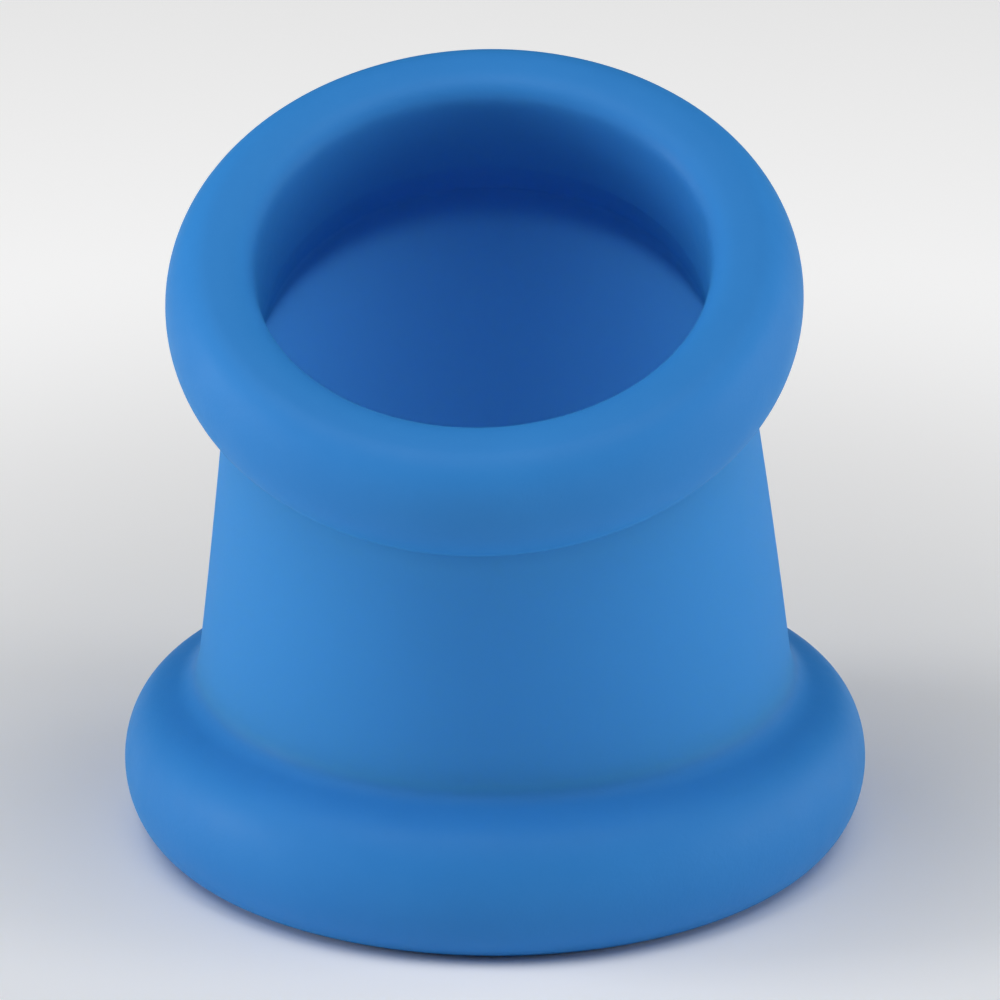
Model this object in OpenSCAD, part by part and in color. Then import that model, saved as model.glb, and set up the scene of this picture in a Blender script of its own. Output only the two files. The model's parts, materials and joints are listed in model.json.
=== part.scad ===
// Flexible rubber sleeve: a short, bent, tapered tube with a thick oval bead round each mouth.
// It stands on the base bead at z = 0. The sleeve leans towards -Y, where the upper mouth faces.

/* [Base bead] */
// Outer radius of the base bead
base_r = 30; // [27:0.5:34]
// Radial thickness of the base bead
base_bead_w = 8.4; // [7.8:0.1:9.4]
// Height of the base bead's oval section, before the foot is cut flat
base_bead_h = 11.4; // [9:0.2:14]
// How far the base bead stands out past the wall
base_overhang = 5.6; // [5:0.1:6.3]
// Depth of the shallow cut that makes the base mouth's plain bore
base_bore_cut = 0.15; // [0.05:0.05:0.3]
// Width of the flat ring that the sleeve stands on
foot_w = 1.6; // [1:0.1:2.4]

/* [Mouth bead] */
// Outer radius of the mouth bead
mouth_r = 24.25; // [22:0.25:28]
// Radial thickness of the mouth bead
mouth_bead_w = 7.3; // [6.8:0.1:8.2]
// Length of the mouth bead's oval section along the mouth's axis
mouth_bead_h = 10.3; // [8:0.1:12]
// How far the mouth bead stands out past the wall
mouth_overhang = 4.75; // [4.25:0.05:5.25]
// Depth of the shallow cut that makes the upper mouth's plain bore
mouth_bore_cut = 0.15; // [0.05:0.05:0.3]

/* [Bend] */
// Height of the mouth's centre above the base bead's centre
mouth_rise = 43.3; // [38:0.1:50]
// How far forward the mouth's centre leans
mouth_reach = 12.8; // [6:0.1:16]
// Angle that the mouth is tilted forward
mouth_tilt = 27; // [16:1:34]

/* [Wall] */
// Thickness of the thin wall
wall_t = 1.6; // [1.2:0.1:1.9]
// Radial gap round the wall's end where it enters the mouth bead
seat_gap = 0.5; // [0.4:0.05:0.7]
// Facets round the wall
sides = 72; // [48:12:96]
// Steps along each band of wall
steps = 3; // [2:1:4]

/* [Hidden] */
$fn = 96;
rubber = [0.18, 0.45, 0.75];
far = 100;

// Half-widths and half-heights of the two oval sections, and the circles their centres run on
base_a = base_bead_w / 2;
base_b = base_bead_h / 2;
base_ring = base_r - base_a;
mouth_a = mouth_bead_w / 2;
mouth_b = mouth_bead_h / 2;
mouth_ring = mouth_r - mouth_a;

// Height of an oval section's edge, at a distance across from its centre
function edge_h(a, b, across) = b * sqrt(1 - pow(across / a, 2));

// The oval's lowest part is cut off to leave the foot, so the bead's centre sits lower by that much
base_z = edge_h(base_a, base_b, foot_w / 2);
mouth_centre = [0, -mouth_reach, base_z + mouth_rise];
mouth_axis = [0, -sin(mouth_tilt), cos(mouth_tilt)];

// Outer radius of the wall at each bead, and how far the wall's end is from the bead's centre
wall_base_r = base_r - base_overhang;
wall_mouth_r = mouth_r - mouth_overhang;
base_ledge = edge_h(base_a, base_b, base_ring - wall_base_r + wall_t);
mouth_ledge = edge_h(mouth_a, mouth_b, mouth_ring - wall_mouth_r + wall_t);

// The wall's spine is a smooth curve from the base ledge, pointing up, to the mouth ledge, pointing along its axis
wall_start = [0, 0, base_z + base_ledge];
wall_end = mouth_centre - mouth_ledge * mouth_axis;
chord = norm(wall_end - wall_start);
function spine(t) =
    (2 * pow(t, 3) - 3 * pow(t, 2) + 1) * wall_start
    + (pow(t, 3) - 2 * pow(t, 2) + t) * chord * [0, 0, 1]
    + (3 * pow(t, 2) - 2 * pow(t, 3)) * wall_end
    + (pow(t, 3) - pow(t, 2)) * chord * mouth_axis;

// Where each band of wall begins on the spine: the band that twists is the short one
waist_from = 0.37;
shoulder_from = 0.6;
upper_from = 0.68;

// One point of the wall: t runs up the spine, turn goes round it, and inset is the depth from the outer skin
function wall_r(t) = wall_base_r + (wall_mouth_r - wall_base_r) * t;
function wall_point(t, turn, inset) =
    spine(t) + (wall_r(t) - inset) * [
        cos(turn),
        sin(turn) * cos(mouth_tilt * t),
        sin(turn) * sin(mouth_tilt * t)
    ];

// An oval bead on its ring, with the plain bore cut and a ledge for the wall's end above its centre
module bead(ring, a, b, bore_cut, ledge, ledge_r) {
    rotate_extrude()
        difference() {
            translate([ring, 0])
                scale([a, b])
                    circle(1);
            translate([0, -far / 2])
                square([ring - a + bore_cut, far]);
            translate([0, ledge])
                square([ledge_r, far]);
        }
}

// A band of thin wall between two places on the spine, as a closed skin of triangles
module wall_band(from, to) {
    count = sides * (steps + 1);
    function at(i, j) = i * sides + j % sides;
    function in_at(i, j) = count + at(i, j);
    skins = [
        for (inset = [0, wall_t], i = [0 : steps], j = [0 : sides - 1])
            wall_point(from + (to - from) * i / steps, 360 * j / sides, inset)
    ];
    outside = [
        for (i = [0 : steps - 1], j = [0 : sides - 1])
            each [
                [at(i, j), at(i + 1, j), at(i + 1, j + 1)],
                [at(i, j), at(i + 1, j + 1), at(i, j + 1)]
            ]
    ];
    inside = [
        for (i = [0 : steps - 1], j = [0 : sides - 1])
            each [
                [in_at(i, j), in_at(i + 1, j + 1), in_at(i + 1, j)],
                [in_at(i, j), in_at(i, j + 1), in_at(i + 1, j + 1)]
            ]
    ];
    ends = [
        for (j = [0 : sides - 1])
            each [
                [at(0, j), at(0, j + 1), in_at(0, j + 1), in_at(0, j)],
                [at(steps, j), in_at(steps, j), in_at(steps, j + 1), at(steps, j + 1)]
            ]
    ];
    polyhedron(points = skins, faces = concat(outside, inside, ends));
}

// Base bead: the oval ring with its underside cut flat at z = 0
module base_bead() {
    color(rubber)
        intersection() {
            translate([0, 0, base_z])
                bead(base_ring, base_a, base_b, base_bore_cut, base_ledge, wall_base_r);
            translate([0, 0, far / 2])
                cube(far, center = true);
        }
}

// Four bands of wall, which meet face to face
module lower_wall() {
    color(rubber)
        wall_band(0, waist_from);
}

module waist_wall() {
    color(rubber)
        wall_band(waist_from, shoulder_from);
}

module shoulder_wall() {
    color(rubber)
        wall_band(shoulder_from, upper_from);
}

module upper_wall() {
    color(rubber)
        wall_band(upper_from, 1);
}

// Mouth bead: the same kind of ring, turned over so that its ledge faces the wall, and tilted forward
module mouth_bead() {
    color(rubber)
        translate(mouth_centre)
            rotate([mouth_tilt, 0, 0])
                mirror([0, 0, 1])
                    bead(mouth_ring, mouth_a, mouth_b, mouth_bore_cut, mouth_ledge, wall_mouth_r + seat_gap);
}

base_bead();
lower_wall();
waist_wall();
shoulder_wall();
upper_wall();
mouth_bead();
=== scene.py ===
import json
import math

import bpy
import numpy as np
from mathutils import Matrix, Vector


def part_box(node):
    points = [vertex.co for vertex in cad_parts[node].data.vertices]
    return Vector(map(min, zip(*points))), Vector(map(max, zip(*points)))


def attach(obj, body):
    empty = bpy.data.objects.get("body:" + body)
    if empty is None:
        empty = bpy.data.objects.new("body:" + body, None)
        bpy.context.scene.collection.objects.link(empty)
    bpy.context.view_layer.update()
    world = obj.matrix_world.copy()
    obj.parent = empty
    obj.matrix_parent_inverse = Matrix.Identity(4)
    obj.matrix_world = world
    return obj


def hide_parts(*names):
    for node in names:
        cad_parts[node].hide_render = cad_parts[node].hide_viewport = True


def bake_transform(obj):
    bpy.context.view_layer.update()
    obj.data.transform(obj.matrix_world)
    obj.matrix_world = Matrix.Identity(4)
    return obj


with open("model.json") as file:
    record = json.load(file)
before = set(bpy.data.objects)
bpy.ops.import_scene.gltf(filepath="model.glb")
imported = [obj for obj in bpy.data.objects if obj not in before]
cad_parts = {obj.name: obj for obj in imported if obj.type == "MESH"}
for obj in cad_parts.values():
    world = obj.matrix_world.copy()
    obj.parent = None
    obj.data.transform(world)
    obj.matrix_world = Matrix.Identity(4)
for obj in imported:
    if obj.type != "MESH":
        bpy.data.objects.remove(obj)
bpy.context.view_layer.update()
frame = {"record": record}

# The sleeve is one smooth skin of rubber. It is worked out here as a closed profile, (r, s), swept round
# a bent spine: r is the distance from the spine and s the distance along it from the wall's foot, both in
# The skin is then divided into the CAD model's zones.

MM = 0.001

# Sizes that the frame doesn't give, in millimetres
WALL = 1.6               # thickness of the thin wall
BORE_CUT = 0.15          # depth of the shallow cut that makes each mouth's plain bore
BEAD_REACH = 2.0         # how far each bead's root covers the wall's end
BASE_FILLET = 3.2        # softness of the hollow between the base bead and the wall, outside
MOUTH_FILLET = 0.35      # softness of the crease between the mouth bead and the wall, outside
BASE_INSIDE = 3.0        # softness of the hollow inside, over the base bead
MOUTH_INSIDE = 5.5       # softness of the hollow inside, under the mouth bead
BORE_SQUARE = 3.5        # how square a bead's section is on the bore's side, where 2 is an oval
FOOT_EDGE = 0.08         # softness of the foot's edges
BORE_EDGE = 0.4          # softness of the bores' edges

# How finely the skin is made. Every length is in millimetres.
SIDES = 240              # facets round a ring
RING_STEP = 0.4          # between rings of the finished skin
TRACE_STEP = 0.05        # between points while the profile is traced
TRACE_CLOSE = 0.0375     # the trace is round once it comes this near to its start
SLOPE_STEP = 0.0001      # for the profile's slope
NORMAL_STEP = 0.001      # for the finished skin's normals
PROBE_STEP = 0.2         # between tests of the rubber's thickness
PROBE_LIMIT = 8          # the thickest rubber that matters
LIGHT_REACH = 0.7        # thickness over which the light that comes through falls to about a third

# Where each zone of wall ends, as shares of the spine, as in the CAD model
ZONES = ["lower_wall", "waist_wall", "shoulder_wall", "upper_wall"]
ZONE_ENDS = [0.37, 0.6, 0.68]
ZONE_JOINTS = ["fore_aft_bend", "sideways_bend", "twist", "squeeze"]

# The rubber's colours, as linear red, green, blue and alpha
DEEP_BLUE = (0.032, 0.229, 0.625, 1.0)
SOFT_BLUE = (0.035, 0.245, 0.655, 1.0)
THIN_BLUE = (0.090, 0.47, 0.90, 1.0)        # the thin wall's skin, lightened by what comes through
BLOOM_BLUE = (0.08, 0.32, 0.72, 1.0)        # the dry bloom on old rubber
THROUGH_BLUE = (0.33, 0.68, 1.0, 1.0)       # the light that comes through the thin wall
SHEEN_BLUE = (0.0, 0.95, 0.75, 1.0)         # the soft light along the rubber's edges
MOST_BLOOM = 0.05        # the bloom's share where it is thickest
MOST_THROUGH = 0.5       # the share of light that comes through the thin wall

# The rubber's patterns: how many of each go into a metre
SHADE_SCALE = 70
ROUGH_SCALE = 260
BLOOM_SCALE = 420
GRAIN_SCALE = 900
TOOTH_SCALE = 4200
NOISE_SPREAD = (0.3, 0.7)       # the middle of a noise's range
ROUGHNESS = (0.50, 0.60)
GRAIN_DEPTH = 0.00008    # metres
TOOTH_DEPTH = 0.00003

# The camera
VIEW_CLIP = (0.01, 20)   # metres
VIEW_AZIMUTH = math.radians(3.6)
VIEW_ELEVATION = math.radians(21.2)
VIEW_DISTANCE = 14       # in base bead radii
VIEW_LENS = 189.3
VIEW_TARGET = (0.012, 0.020, 0.900)     # in base bead radii

# The softboxes, in metres: each kind's width, and its distance from the point that it faces. The low ones
# stand further off, so that they stay clear of the floor.
HIGH_BOX = (0.35, 0.6)
LOW_BOX = (0.45, 1.2)
SOFTBOX_TARGET = (0, 0, 0.03)

# The room: a white that hardly lights anything, and a paler one for the camera alone
ROOM_LIGHT = 0.01
ROOM_SEEN = 0.8
WHITE = (1.0, 1.0, 1.0, 1.0)

# The floor, and its painted glow, standing in for lit paper: none under and round the sleeve, which paints
# shade there, and full further out. In metres.
FLOOR_SIZE = 6
FLOOR_DROP = 0.00002     # keeps it just clear of the foot
GLOW_FROM = 0.045
GLOW_FULL = 0.15
GLOW = 0.32


# ---------------------------------------------------------------- measures taken from the frame

def in_mm(values):
    return np.array([float(v) for v in values]) / MM


record = frame["record"]
mounts = {m["name"]: m for m in record["mounts"]}
base_high = in_mm(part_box("base_bead")[1])
mouth_high = in_mm(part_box("mouth_bead")[1])
wall_low, wall_high = (in_mm(corner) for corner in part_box("lower_wall"))
upper_high = in_mm(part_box("upper_wall")[1])

mouth_centre = in_mm(mounts["mouth_bore"]["pos_m"])
mouth_axis = np.array(mounts["mouth_bore"]["axis"], float)
mouth_axis /= np.linalg.norm(mouth_axis)
lean = math.atan2(-mouth_axis[1], mouth_axis[2])

# Each bead: the radius of its bore and outside, and its oval section's half-widths and ring radius
base_bore = mounts["base_bore"]["dims"]["r_mm"]
base_z = float(in_mm(mounts["base_bore"]["pos_m"])[2])
base_a = (base_high[0] - base_bore + BORE_CUT) / 2
base_b = base_high[2] - base_z
base_ring = base_high[0] - base_a
mouth_bore = mounts["mouth_bore"]["dims"]["r_mm"]
mouth_a = (mouth_high[0] - mouth_bore + BORE_CUT) / 2
mouth_ring = mouth_high[0] - mouth_a
mouth_rise = mouth_high[2] - mouth_centre[2] - mouth_ring * math.sin(lean)
mouth_b = math.sqrt(mouth_rise ** 2 - (mouth_a * math.sin(lean)) ** 2) / math.cos(lean)

# The wall's outer radius at its two ends, and its spine
wall_base_r = wall_high[0]
wall_mouth_r = wall_base_r + (upper_high[0] - wall_base_r) / ZONE_ENDS[-1]
mouth_inset = mouth_ring - wall_mouth_r + WALL
mouth_ledge = mouth_b * math.sqrt(1 - (mouth_inset / mouth_a) ** 2)
spine_foot = np.array([0.0, 0.0, wall_low[2]])
spine_head = mouth_centre - mouth_ledge * mouth_axis
UP = np.array([0.0, 0.0, 1.0])
chord = float(np.linalg.norm(spine_head - spine_foot))


# ---------------------------------------------------------------- the bent sweep

def spine(s):
    """Points on the spine at each s. It runs on in a straight line past either end."""
    t = np.clip(s / chord, 0, 1)[..., None]
    curve = (
        (2 * t ** 3 - 3 * t ** 2 + 1) * spine_foot
        + (t ** 3 - 2 * t ** 2 + t) * chord * UP
        + (3 * t ** 2 - 2 * t ** 3) * spine_head
        + (t ** 3 - t ** 2) * chord * mouth_axis
    )
    below = np.minimum(s, 0)[..., None]
    beyond = np.maximum(s - chord, 0)[..., None]
    return curve + below * UP + beyond * mouth_axis


def tilt(s):
    """How far a ring at s leans. The beads don't bend, so the lean changes only between them."""
    return lean * np.clip((s - BEAD_REACH) / (chord - 2 * BEAD_REACH), 0, 1)


def place(r, s, turn):
    """The points at (r, s), turned round the spine, in millimetres in the row frame."""
    r, s, turn = np.broadcast_arrays(r, s, turn)
    leaning = tilt(s)
    out = np.stack(
        [
            np.cos(turn),
            np.sin(turn) * np.cos(leaning),
            np.sin(turn) * np.sin(leaning),
        ],
        axis=-1,
    )
    return spine(s) + r[..., None] * out


# ---------------------------------------------------------------- the profile

def soft_min(a, b, soft):
    h = max(soft - abs(a - b), 0) / soft
    return min(a, b) - h * h * soft / 4


def soft_max(a, b, soft):
    return -soft_min(-a, -b, soft)


def oval(r, s, ring, middle, a, b):
    """Roughly the distance outside a bead's section; below 0 inside it. The bore's side is squarer."""
    x, y = abs(r - ring) / a, abs(s - middle) / b
    power = 2 if r > ring else BORE_SQUARE
    near = (x ** power + y ** power) ** (1 / power)
    steep = math.hypot(x ** (power - 1) / a, y ** (power - 1) / b)
    return (near - 1) * near ** (power - 1) / (steep + 1e-9)


def wall_middle(s):
    return wall_base_r - WALL / 2 + (wall_mouth_r - wall_base_r) * s / chord


def strip(r, s):
    """The distance outside the wall's own section, which ends inside the beads."""
    along = np.array([wall_middle(chord) - wall_middle(0), chord])
    here = np.array([r - wall_middle(0), s])
    t = float(np.clip(here @ along / (along @ along), 0, 1))
    return float(np.linalg.norm(here - t * along)) - WALL / 2


def skin(r, s):
    """Below 0 inside the rubber, 0 on its skin, above 0 outside."""
    base = oval(r, s, base_ring, base_z - wall_low[2], base_a, base_b)
    base = soft_max(base, -wall_low[2] - s, FOOT_EDGE)
    mouth = oval(r, s, mouth_ring, chord + mouth_ledge, mouth_a, mouth_b)
    outside = r > wall_middle(s)
    lower = soft_min(strip(r, s), base, BASE_FILLET if outside else BASE_INSIDE)
    both = soft_min(lower, mouth, MOUTH_FILLET if outside else MOUTH_INSIDE)
    bore = base_bore + (mouth_bore - base_bore) * min(max(s / chord, 0), 1)
    return soft_max(both, bore - r, BORE_EDGE)


def slope(r, s):
    """How fast the distance outside the skin grows, across and along: it points straight out."""
    e = SLOPE_STEP
    across = skin(r + e, s) - skin(r - e, s)
    along = skin(r, s + e) - skin(r, s - e)
    return np.array([across, along]) / (2 * e)


def thickness(point):
    """How far it is through the rubber from a point on the skin, straight in."""
    out = slope(*point)
    out /= np.linalg.norm(out)
    before = skin(*(point - PROBE_STEP * out))
    for depth in np.arange(2 * PROBE_STEP, PROBE_LIMIT, PROBE_STEP):
        here = skin(*(point - depth * out))
        if here > 0:
            return depth - PROBE_STEP * here / (here - before)
        before = here
    return PROBE_LIMIT


def trace():
    """The profile as a closed line: up the outside from the base bead's rim, and down the inside."""
    point = np.array([base_high[0], base_z - wall_low[2]])
    found = [point]
    while len(found) < 3 or np.linalg.norm(point - found[0]) > TRACE_CLOSE:
        out = slope(*point)
        out /= np.linalg.norm(out)
        point = point + TRACE_STEP * np.array([-out[1], out[0]])
        for _ in range(3):
            out = slope(*point)
            point = point - skin(*point) * out / (out @ out)
        found.append(point)
    return np.array(found + found[:1])


def cut(line, levels):
    """The profile cut where it crosses each level of s, outside and then inside, as a list of lines."""
    pieces, current = [], [line[0]]
    for a, b in zip(line[:-1], line[1:]):
        for level in levels:
            if (a[1] - level) * (b[1] - level) < 0:
                meeting = a + (b - a) * (level - a[1]) / (b[1] - a[1])
                pieces.append(np.array(current + [meeting]))
                current = [meeting]
        current.append(b)
    pieces.append(np.array(current))
    return pieces


def evenly(line):
    """The same line with its points RING_STEP apart."""
    gone = np.r_[0, np.cumsum(np.linalg.norm(np.diff(line, axis=0), axis=1))]
    count = max(4, round(gone[-1] / RING_STEP))
    at = np.linspace(0, gone[-1], count + 1)
    return np.stack([np.interp(at, gone, line[:, 0]), np.interp(at, gone, line[:, 1])], axis=1)


# ---------------------------------------------------------------- meshes

TURNS = np.linspace(0, 2 * math.pi, SIDES, endpoint=False)


def true_normals(line):
    """The skin's own normals at each point of a line and each turn, so that zones meet without a seam."""
    e = NORMAL_STEP
    out = np.array([slope(*p) for p in line])
    out /= np.linalg.norm(out, axis=1)[:, None]
    r, s = line[:, :1], line[:, 1:]
    step_r, step_s = -out[:, 1:] * e, out[:, :1] * e
    along = place(r + step_r, s + step_s, TURNS) - place(r - step_r, s - step_s, TURNS)
    around = place(r, s, TURNS + e) - place(r, s, TURNS - e)
    normal = np.cross(around, along)
    return normal / np.linalg.norm(normal, axis=-1)[..., None]


def flat_normal(a, b, c):
    across = np.cross(b - a, c - a)
    return across / np.linalg.norm(across)


def facets(points, normals, seams):
    """Faces from each ring to the next, their corners' normals, and their materials: 1 on the flat seams."""
    faces, corner_normals, slots = [], [], []
    rings = len(points)
    for i in range(rings):
        k = (i + 1) % rings
        for j in range(SIDES):
            m = (j + 1) % SIDES
            corners = [(i, j), (i, m), (k, m), (k, j)]
            faces.append([p * SIDES + q for p, q in corners])
            slots.append(int(i in seams))
            if i in seams:
                corner_normals += [flat_normal(points[i, j], points[i, m], points[k, j])] * 4
            else:
                corner_normals += [normals[p, q] for p, q in corners]
    return faces, corner_normals, slots


def sweep(name, lines):
    """A closed solid: the lines are its skin, and flat seams join each line's end to the next one's start."""
    profile = np.vstack(lines)
    points = place(profile[:, :1], profile[:, 1:], TURNS)
    normals = np.vstack([true_normals(line) for line in lines])
    seams = set(np.cumsum([len(line) for line in lines]) - 1)
    faces, corner_normals, slots = facets(points, normals, seams)
    mesh = bpy.data.meshes.new(name)
    mesh.from_pydata((points.reshape(-1, 3) * MM).tolist(), [], faces)
    mesh.polygons.foreach_set("use_smooth", [True] * len(faces))
    mesh.polygons.foreach_set("material_index", slots)
    mesh.normals_split_custom_set([tuple(n) for n in corner_normals])
    thinness = np.exp(-np.maximum([thickness(p) - WALL for p in profile], 0) / LIGHT_REACH)
    attribute = mesh.attributes.new("thinness", "FLOAT", "POINT")
    attribute.data.foreach_set("value", np.repeat(thinness, SIDES))
    mesh.update()
    piece = bpy.data.objects.new(name, mesh)
    bpy.context.scene.collection.objects.link(piece)
    return piece


def bend_span(low, high):
    """Where a zone starts and stops turning."""
    middle = (tilt(np.array(low)) + tilt(np.array(high))) / 2
    way = np.array([0.0, -math.sin(middle), math.cos(middle)])
    centre = spine(np.array((low + high) / 2))
    first = (place(wall_base_r, low, TURNS) - centre) @ way
    final = (place(wall_base_r, high, TURNS) - centre) @ way
    return (centre + way * first.max()) * MM, (centre + way * final.min()) * MM


# ---------------------------------------------------------------- material

def add_node(tree, kind, **inputs):
    node = tree.nodes.new(kind)
    for name, value in inputs.items():
        node.inputs[name.replace("_", " ")].default_value = value
    return node


def noise(tree, coordinate, scale, detail, roughness):
    node = add_node(tree, "ShaderNodeTexNoise", Scale=scale, Detail=detail, Roughness=roughness)
    tree.links.new(coordinate, node.inputs["Vector"])
    return node.outputs["Fac"]


def spread(tree, value, low, high):
    """Maps the middle of a noise's range to low..high."""
    node = add_node(tree, "ShaderNodeMapRange", To_Min=low, To_Max=high)
    node.inputs["From Min"].default_value, node.inputs["From Max"].default_value = NOISE_SPREAD
    tree.links.new(value, node.inputs["Value"])
    return node.outputs["Result"]


def blank_material(name):
    """A material without nodes but its output, its node tree, and the output's socket."""
    material = bpy.data.materials.new(name)
    material.use_nodes = True
    tree = material.node_tree
    tree.nodes.clear()
    output = tree.nodes.new("ShaderNodeOutputMaterial")
    return material, tree, output.inputs["Surface"]


def blend_colours(tree, factor, first, second):
    """From the first colour to the second as factor goes from 0 to 1. Each is a value or a socket."""
    mix = tree.nodes.new("ShaderNodeMix")
    mix.data_type = "RGBA"
    tree.links.new(factor, mix.inputs["Factor"])
    for socket, colour in ((mix.inputs["A"], first), (mix.inputs["B"], second)):
        if isinstance(colour, tuple):
            socket.default_value = colour
        else:
            tree.links.new(colour, socket)
    return mix.outputs["Result"]


def reckon(tree, operation, value, other):
    """What a Math node makes of a socket and a number, as a socket."""
    node = tree.nodes.new("ShaderNodeMath")
    node.operation = operation
    node.inputs[1].default_value = other
    tree.links.new(value, node.inputs[0])
    return node.outputs["Value"]


def rubber_colour(tree, where, thinness):
    """Slow changes of shade, paler where the rubber is thin, under a faint dry bloom."""
    slow = spread(tree, noise(tree, where, SHADE_SCALE, 3, 0.5), 0, 1)
    shade = blend_colours(tree, slow, DEEP_BLUE, SOFT_BLUE)
    paler = blend_colours(tree, reckon(tree, "POWER", thinness, 2.0), shade, THIN_BLUE)
    dusty = spread(tree, noise(tree, where, BLOOM_SCALE, 5, 0.65), 0, MOST_BLOOM)
    return blend_colours(tree, dusty, paler, BLOOM_BLUE)


def rubber_bumps(tree, where):
    """Two sizes of moulded grain: a fine tooth over a coarser one."""
    tooth = add_node(tree, "ShaderNodeBump", Strength=0.35, Distance=TOOTH_DEPTH)
    grain = add_node(tree, "ShaderNodeBump", Strength=0.30, Distance=GRAIN_DEPTH)
    tree.links.new(noise(tree, where, TOOTH_SCALE, 2, 0.5), tooth.inputs["Height"])
    tree.links.new(noise(tree, where, GRAIN_SCALE, 3, 0.5), grain.inputs["Height"])
    tree.links.new(grain.outputs["Normal"], tooth.inputs["Normal"])
    return tooth.outputs["Normal"]


def rubber_surface(tree, where, thinness):
    """The light that the skin sends back: matt, with hardly any gloss."""
    shader = tree.nodes.new("ShaderNodeBsdfPrincipled")
    shader.inputs["Specular IOR Level"].default_value = 0.14
    shader.inputs["Sheen Roughness"].default_value = 0.35
    shader.inputs["Sheen Tint"].default_value = SHEEN_BLUE
    shader.inputs["Sheen Weight"].default_value = 0.06
    rough = spread(tree, noise(tree, where, ROUGH_SCALE, 4, 0.6), *ROUGHNESS)
    tree.links.new(rough, shader.inputs["Roughness"])
    tree.links.new(rubber_colour(tree, where, thinness), shader.inputs["Base Color"])
    tree.links.new(rubber_bumps(tree, where), shader.inputs["Normal"])
    return shader.outputs["BSDF"]


def rubber_material():
    """Soft matt blue rubber, which lets some light through where it is thin."""
    material, tree, output = blank_material("matt_blue_rubber")
    where = tree.nodes.new("ShaderNodeTexCoord").outputs["Object"]
    thin = tree.nodes.new("ShaderNodeAttribute")
    thin.attribute_name = "thinness"
    thinness = thin.outputs["Fac"]
    through = add_node(tree, "ShaderNodeBsdfTranslucent", Color=THROUGH_BLUE)
    both = tree.nodes.new("ShaderNodeMixShader")
    tree.links.new(reckon(tree, "MULTIPLY", thinness, MOST_THROUGH), both.inputs["Fac"])
    tree.links.new(rubber_surface(tree, where, thinness), both.inputs[1])
    tree.links.new(through.outputs["BSDF"], both.inputs[2])
    tree.links.new(both.outputs["Shader"], output)
    return material


def seam_material():
    """For the faces where two zones meet. The real moulding has none there, so light passes."""
    material, tree, output = blank_material("inside_the_rubber")
    clear = tree.nodes.new("ShaderNodeBsdfTransparent")
    tree.links.new(clear.outputs["BSDF"], output)
    return material


def floor_material():
    """Plain pale paper, with the painted glow that GLOW describes: darker near the sleeve, glowing further
    out.
    """
    material = bpy.data.materials.new("pale_floor")
    material.use_nodes = True
    tree = material.node_tree
    shader = tree.nodes["Principled BSDF"]
    shader.inputs["Base Color"].default_value = (0.95, 0.95, 0.95, 1.0)
    shader.inputs["Roughness"].default_value = 0.7
    shader.inputs["Specular IOR Level"].default_value = 0.1
    shader.inputs["Emission Color"].default_value = WHITE
    away = tree.nodes.new("ShaderNodeVectorMath")
    away.operation = "LENGTH"
    tree.links.new(tree.nodes.new("ShaderNodeTexCoord").outputs["Object"], away.inputs[0])
    # Painted light: the floor glows more the further it is from the sleeve, and not at all close to it.
    glow = add_node(tree, "ShaderNodeMapRange", From_Min=GLOW_FROM, From_Max=GLOW_FULL, To_Max=GLOW)
    glow.interpolation_type = "SMOOTHSTEP"
    tree.links.new(away.outputs["Value"], glow.inputs["Value"])
    tree.links.new(glow.outputs["Result"], shader.inputs["Emission Strength"])
    return material


# ---------------------------------------------------------------- the pieces

def dress(piece, node, materials):
    for material in materials:
        piece.data.materials.append(material)
    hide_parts(node)


def build_sleeve():
    levels = [BEAD_REACH] + [share * chord for share in ZONE_ENDS] + [chord - BEAD_REACH]
    lines = [evenly(line) for line in cut(trace(), levels)]
    zones = len(ZONES)
    outside, mouth_line = lines[1:1 + zones], lines[1 + zones]
    inside = lines[2 + zones:2 + 2 * zones][::-1]
    base_line = np.vstack([lines[-1][:-1], lines[0]])
    materials = [rubber_material(), seam_material()]

    base = sweep("base_bead_skin", [base_line])
    dress(base, "base_bead", materials)
    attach(base, "base")
    for i, (node, joint) in enumerate(zip(ZONES, ZONE_JOINTS)):
        wall = sweep(node + "_skin", [outside[i], inside[i]])
        dress(wall, node, materials)
        start, end = bend_span(levels[i], levels[i + 1])
        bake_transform(wall)
    mouth = sweep("mouth_bead_skin", [mouth_line])
    dress(mouth, "mouth_bead", materials)
    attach(mouth, "mouth")


# ---------------------------------------------------------------- floor, light and camera

def direction(azimuth, elevation):
    """From the sleeve towards a place seen at this azimuth and elevation."""
    flat = math.cos(elevation)
    return Vector((math.sin(azimuth) * flat, -math.cos(azimuth) * flat, math.sin(elevation)))


def build_floor():
    bpy.ops.mesh.primitive_plane_add(size=FLOOR_SIZE, location=(0, 0, -FLOOR_DROP))
    floor = bpy.context.object
    floor.name = "floor"
    floor.data.materials.append(floor_material())


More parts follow.
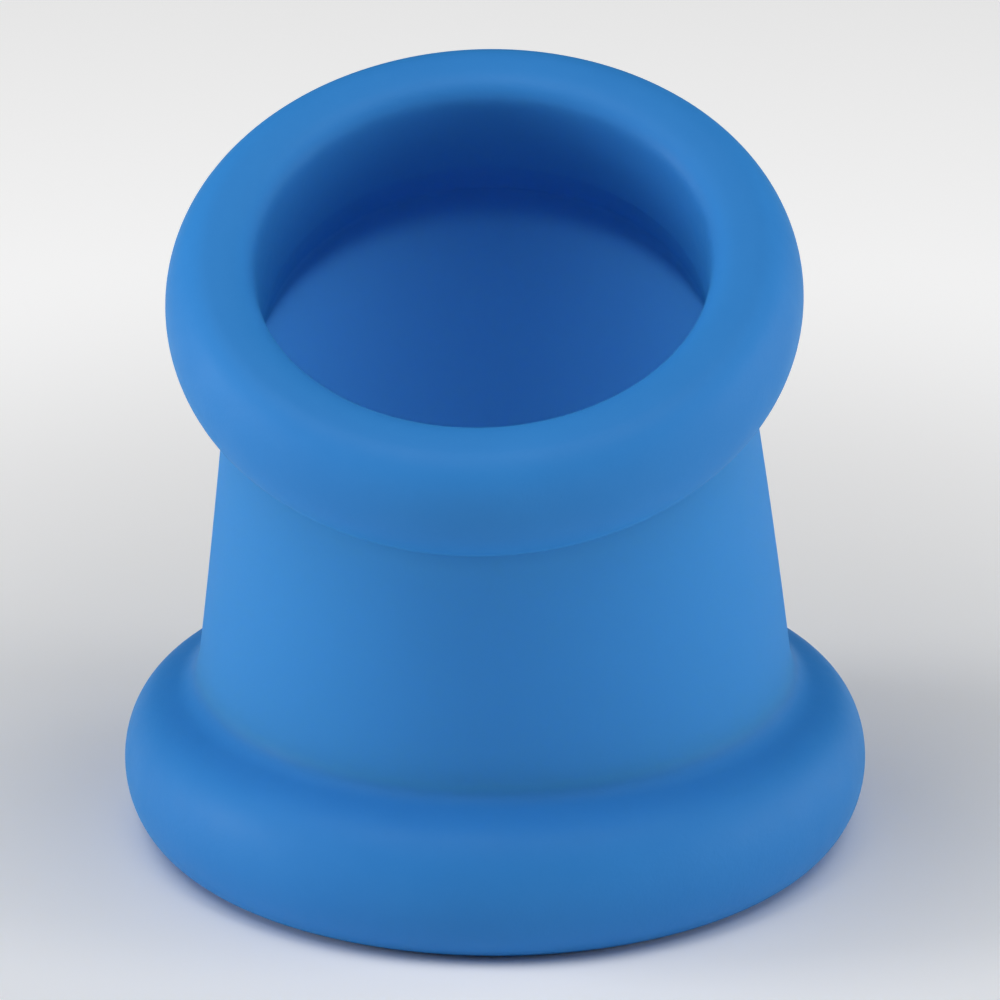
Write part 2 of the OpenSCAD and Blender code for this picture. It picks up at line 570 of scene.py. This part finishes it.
def softbox(name, kind, azimuth, elevation, power):
    """A square softbox facing the sleeve, in degrees and watts. Azimuth 0 is in front, 90 on the right."""
    light = bpy.data.lights.new(name, "AREA")
    light.size, distance = kind
    light.energy = power
    lamp = bpy.data.objects.new(name, light)
    back = direction(math.radians(azimuth), math.radians(elevation))
    lamp.location = Vector(SOFTBOX_TARGET) + back * distance
    lamp.rotation_mode = "QUATERNION"
    lamp.rotation_quaternion = (-back).to_track_quat("-Z", "Y")
    lamp.visible_camera = False
    bpy.context.scene.collection.objects.link(lamp)


def build_room():
    world = bpy.data.worlds.new("studio")
    world.use_nodes = True
    tree = world.node_tree
    lit = tree.nodes["Background"]
    lit.inputs["Color"].default_value = WHITE
    lit.inputs["Strength"].default_value = ROOM_LIGHT
    seen = add_node(tree, "ShaderNodeBackground", Color=WHITE, Strength=ROOM_SEEN)
    either = tree.nodes.new("ShaderNodeMixShader")
    tree.links.new(tree.nodes.new("ShaderNodeLightPath").outputs["Is Camera Ray"], either.inputs["Fac"])
    tree.links.new(lit.outputs["Background"], either.inputs[1])
    tree.links.new(seen.outputs["Background"], either.inputs[2])
    tree.links.new(either.outputs["Shader"], tree.nodes["World Output"].inputs["Surface"])
    bpy.context.scene.world = world


def build_lights():
    softbox("left_high_box", HIGH_BOX, -45, 62, 1.5)
    softbox("right_high_box", HIGH_BOX, 45, 62, 1.22)
    softbox("left_low_box", LOW_BOX, -85, 10, 6.3)
    softbox("right_low_box", LOW_BOX, 85, 10, 3.5)
    softbox("right_back_box", LOW_BOX, 115, 10, 2.2)


def build_camera():
    radius = base_high[0] * MM
    data = bpy.data.cameras.new("camera")
    data.lens = VIEW_LENS
    data.clip_start, data.clip_end = VIEW_CLIP
    camera = bpy.data.objects.new("camera", data)
    back = direction(VIEW_AZIMUTH, VIEW_ELEVATION)
    target = Vector(VIEW_TARGET) * radius
    camera.location = target + back * VIEW_DISTANCE * radius
    camera.rotation_mode = "QUATERNION"
    camera.rotation_quaternion = (-back).to_track_quat("-Z", "Y")
    bpy.context.scene.collection.objects.link(camera)
    bpy.context.scene.camera = camera
    bpy.context.scene.view_settings.view_transform = "Standard"


build_sleeve()
build_floor()
build_room()
build_lights()
build_camera()
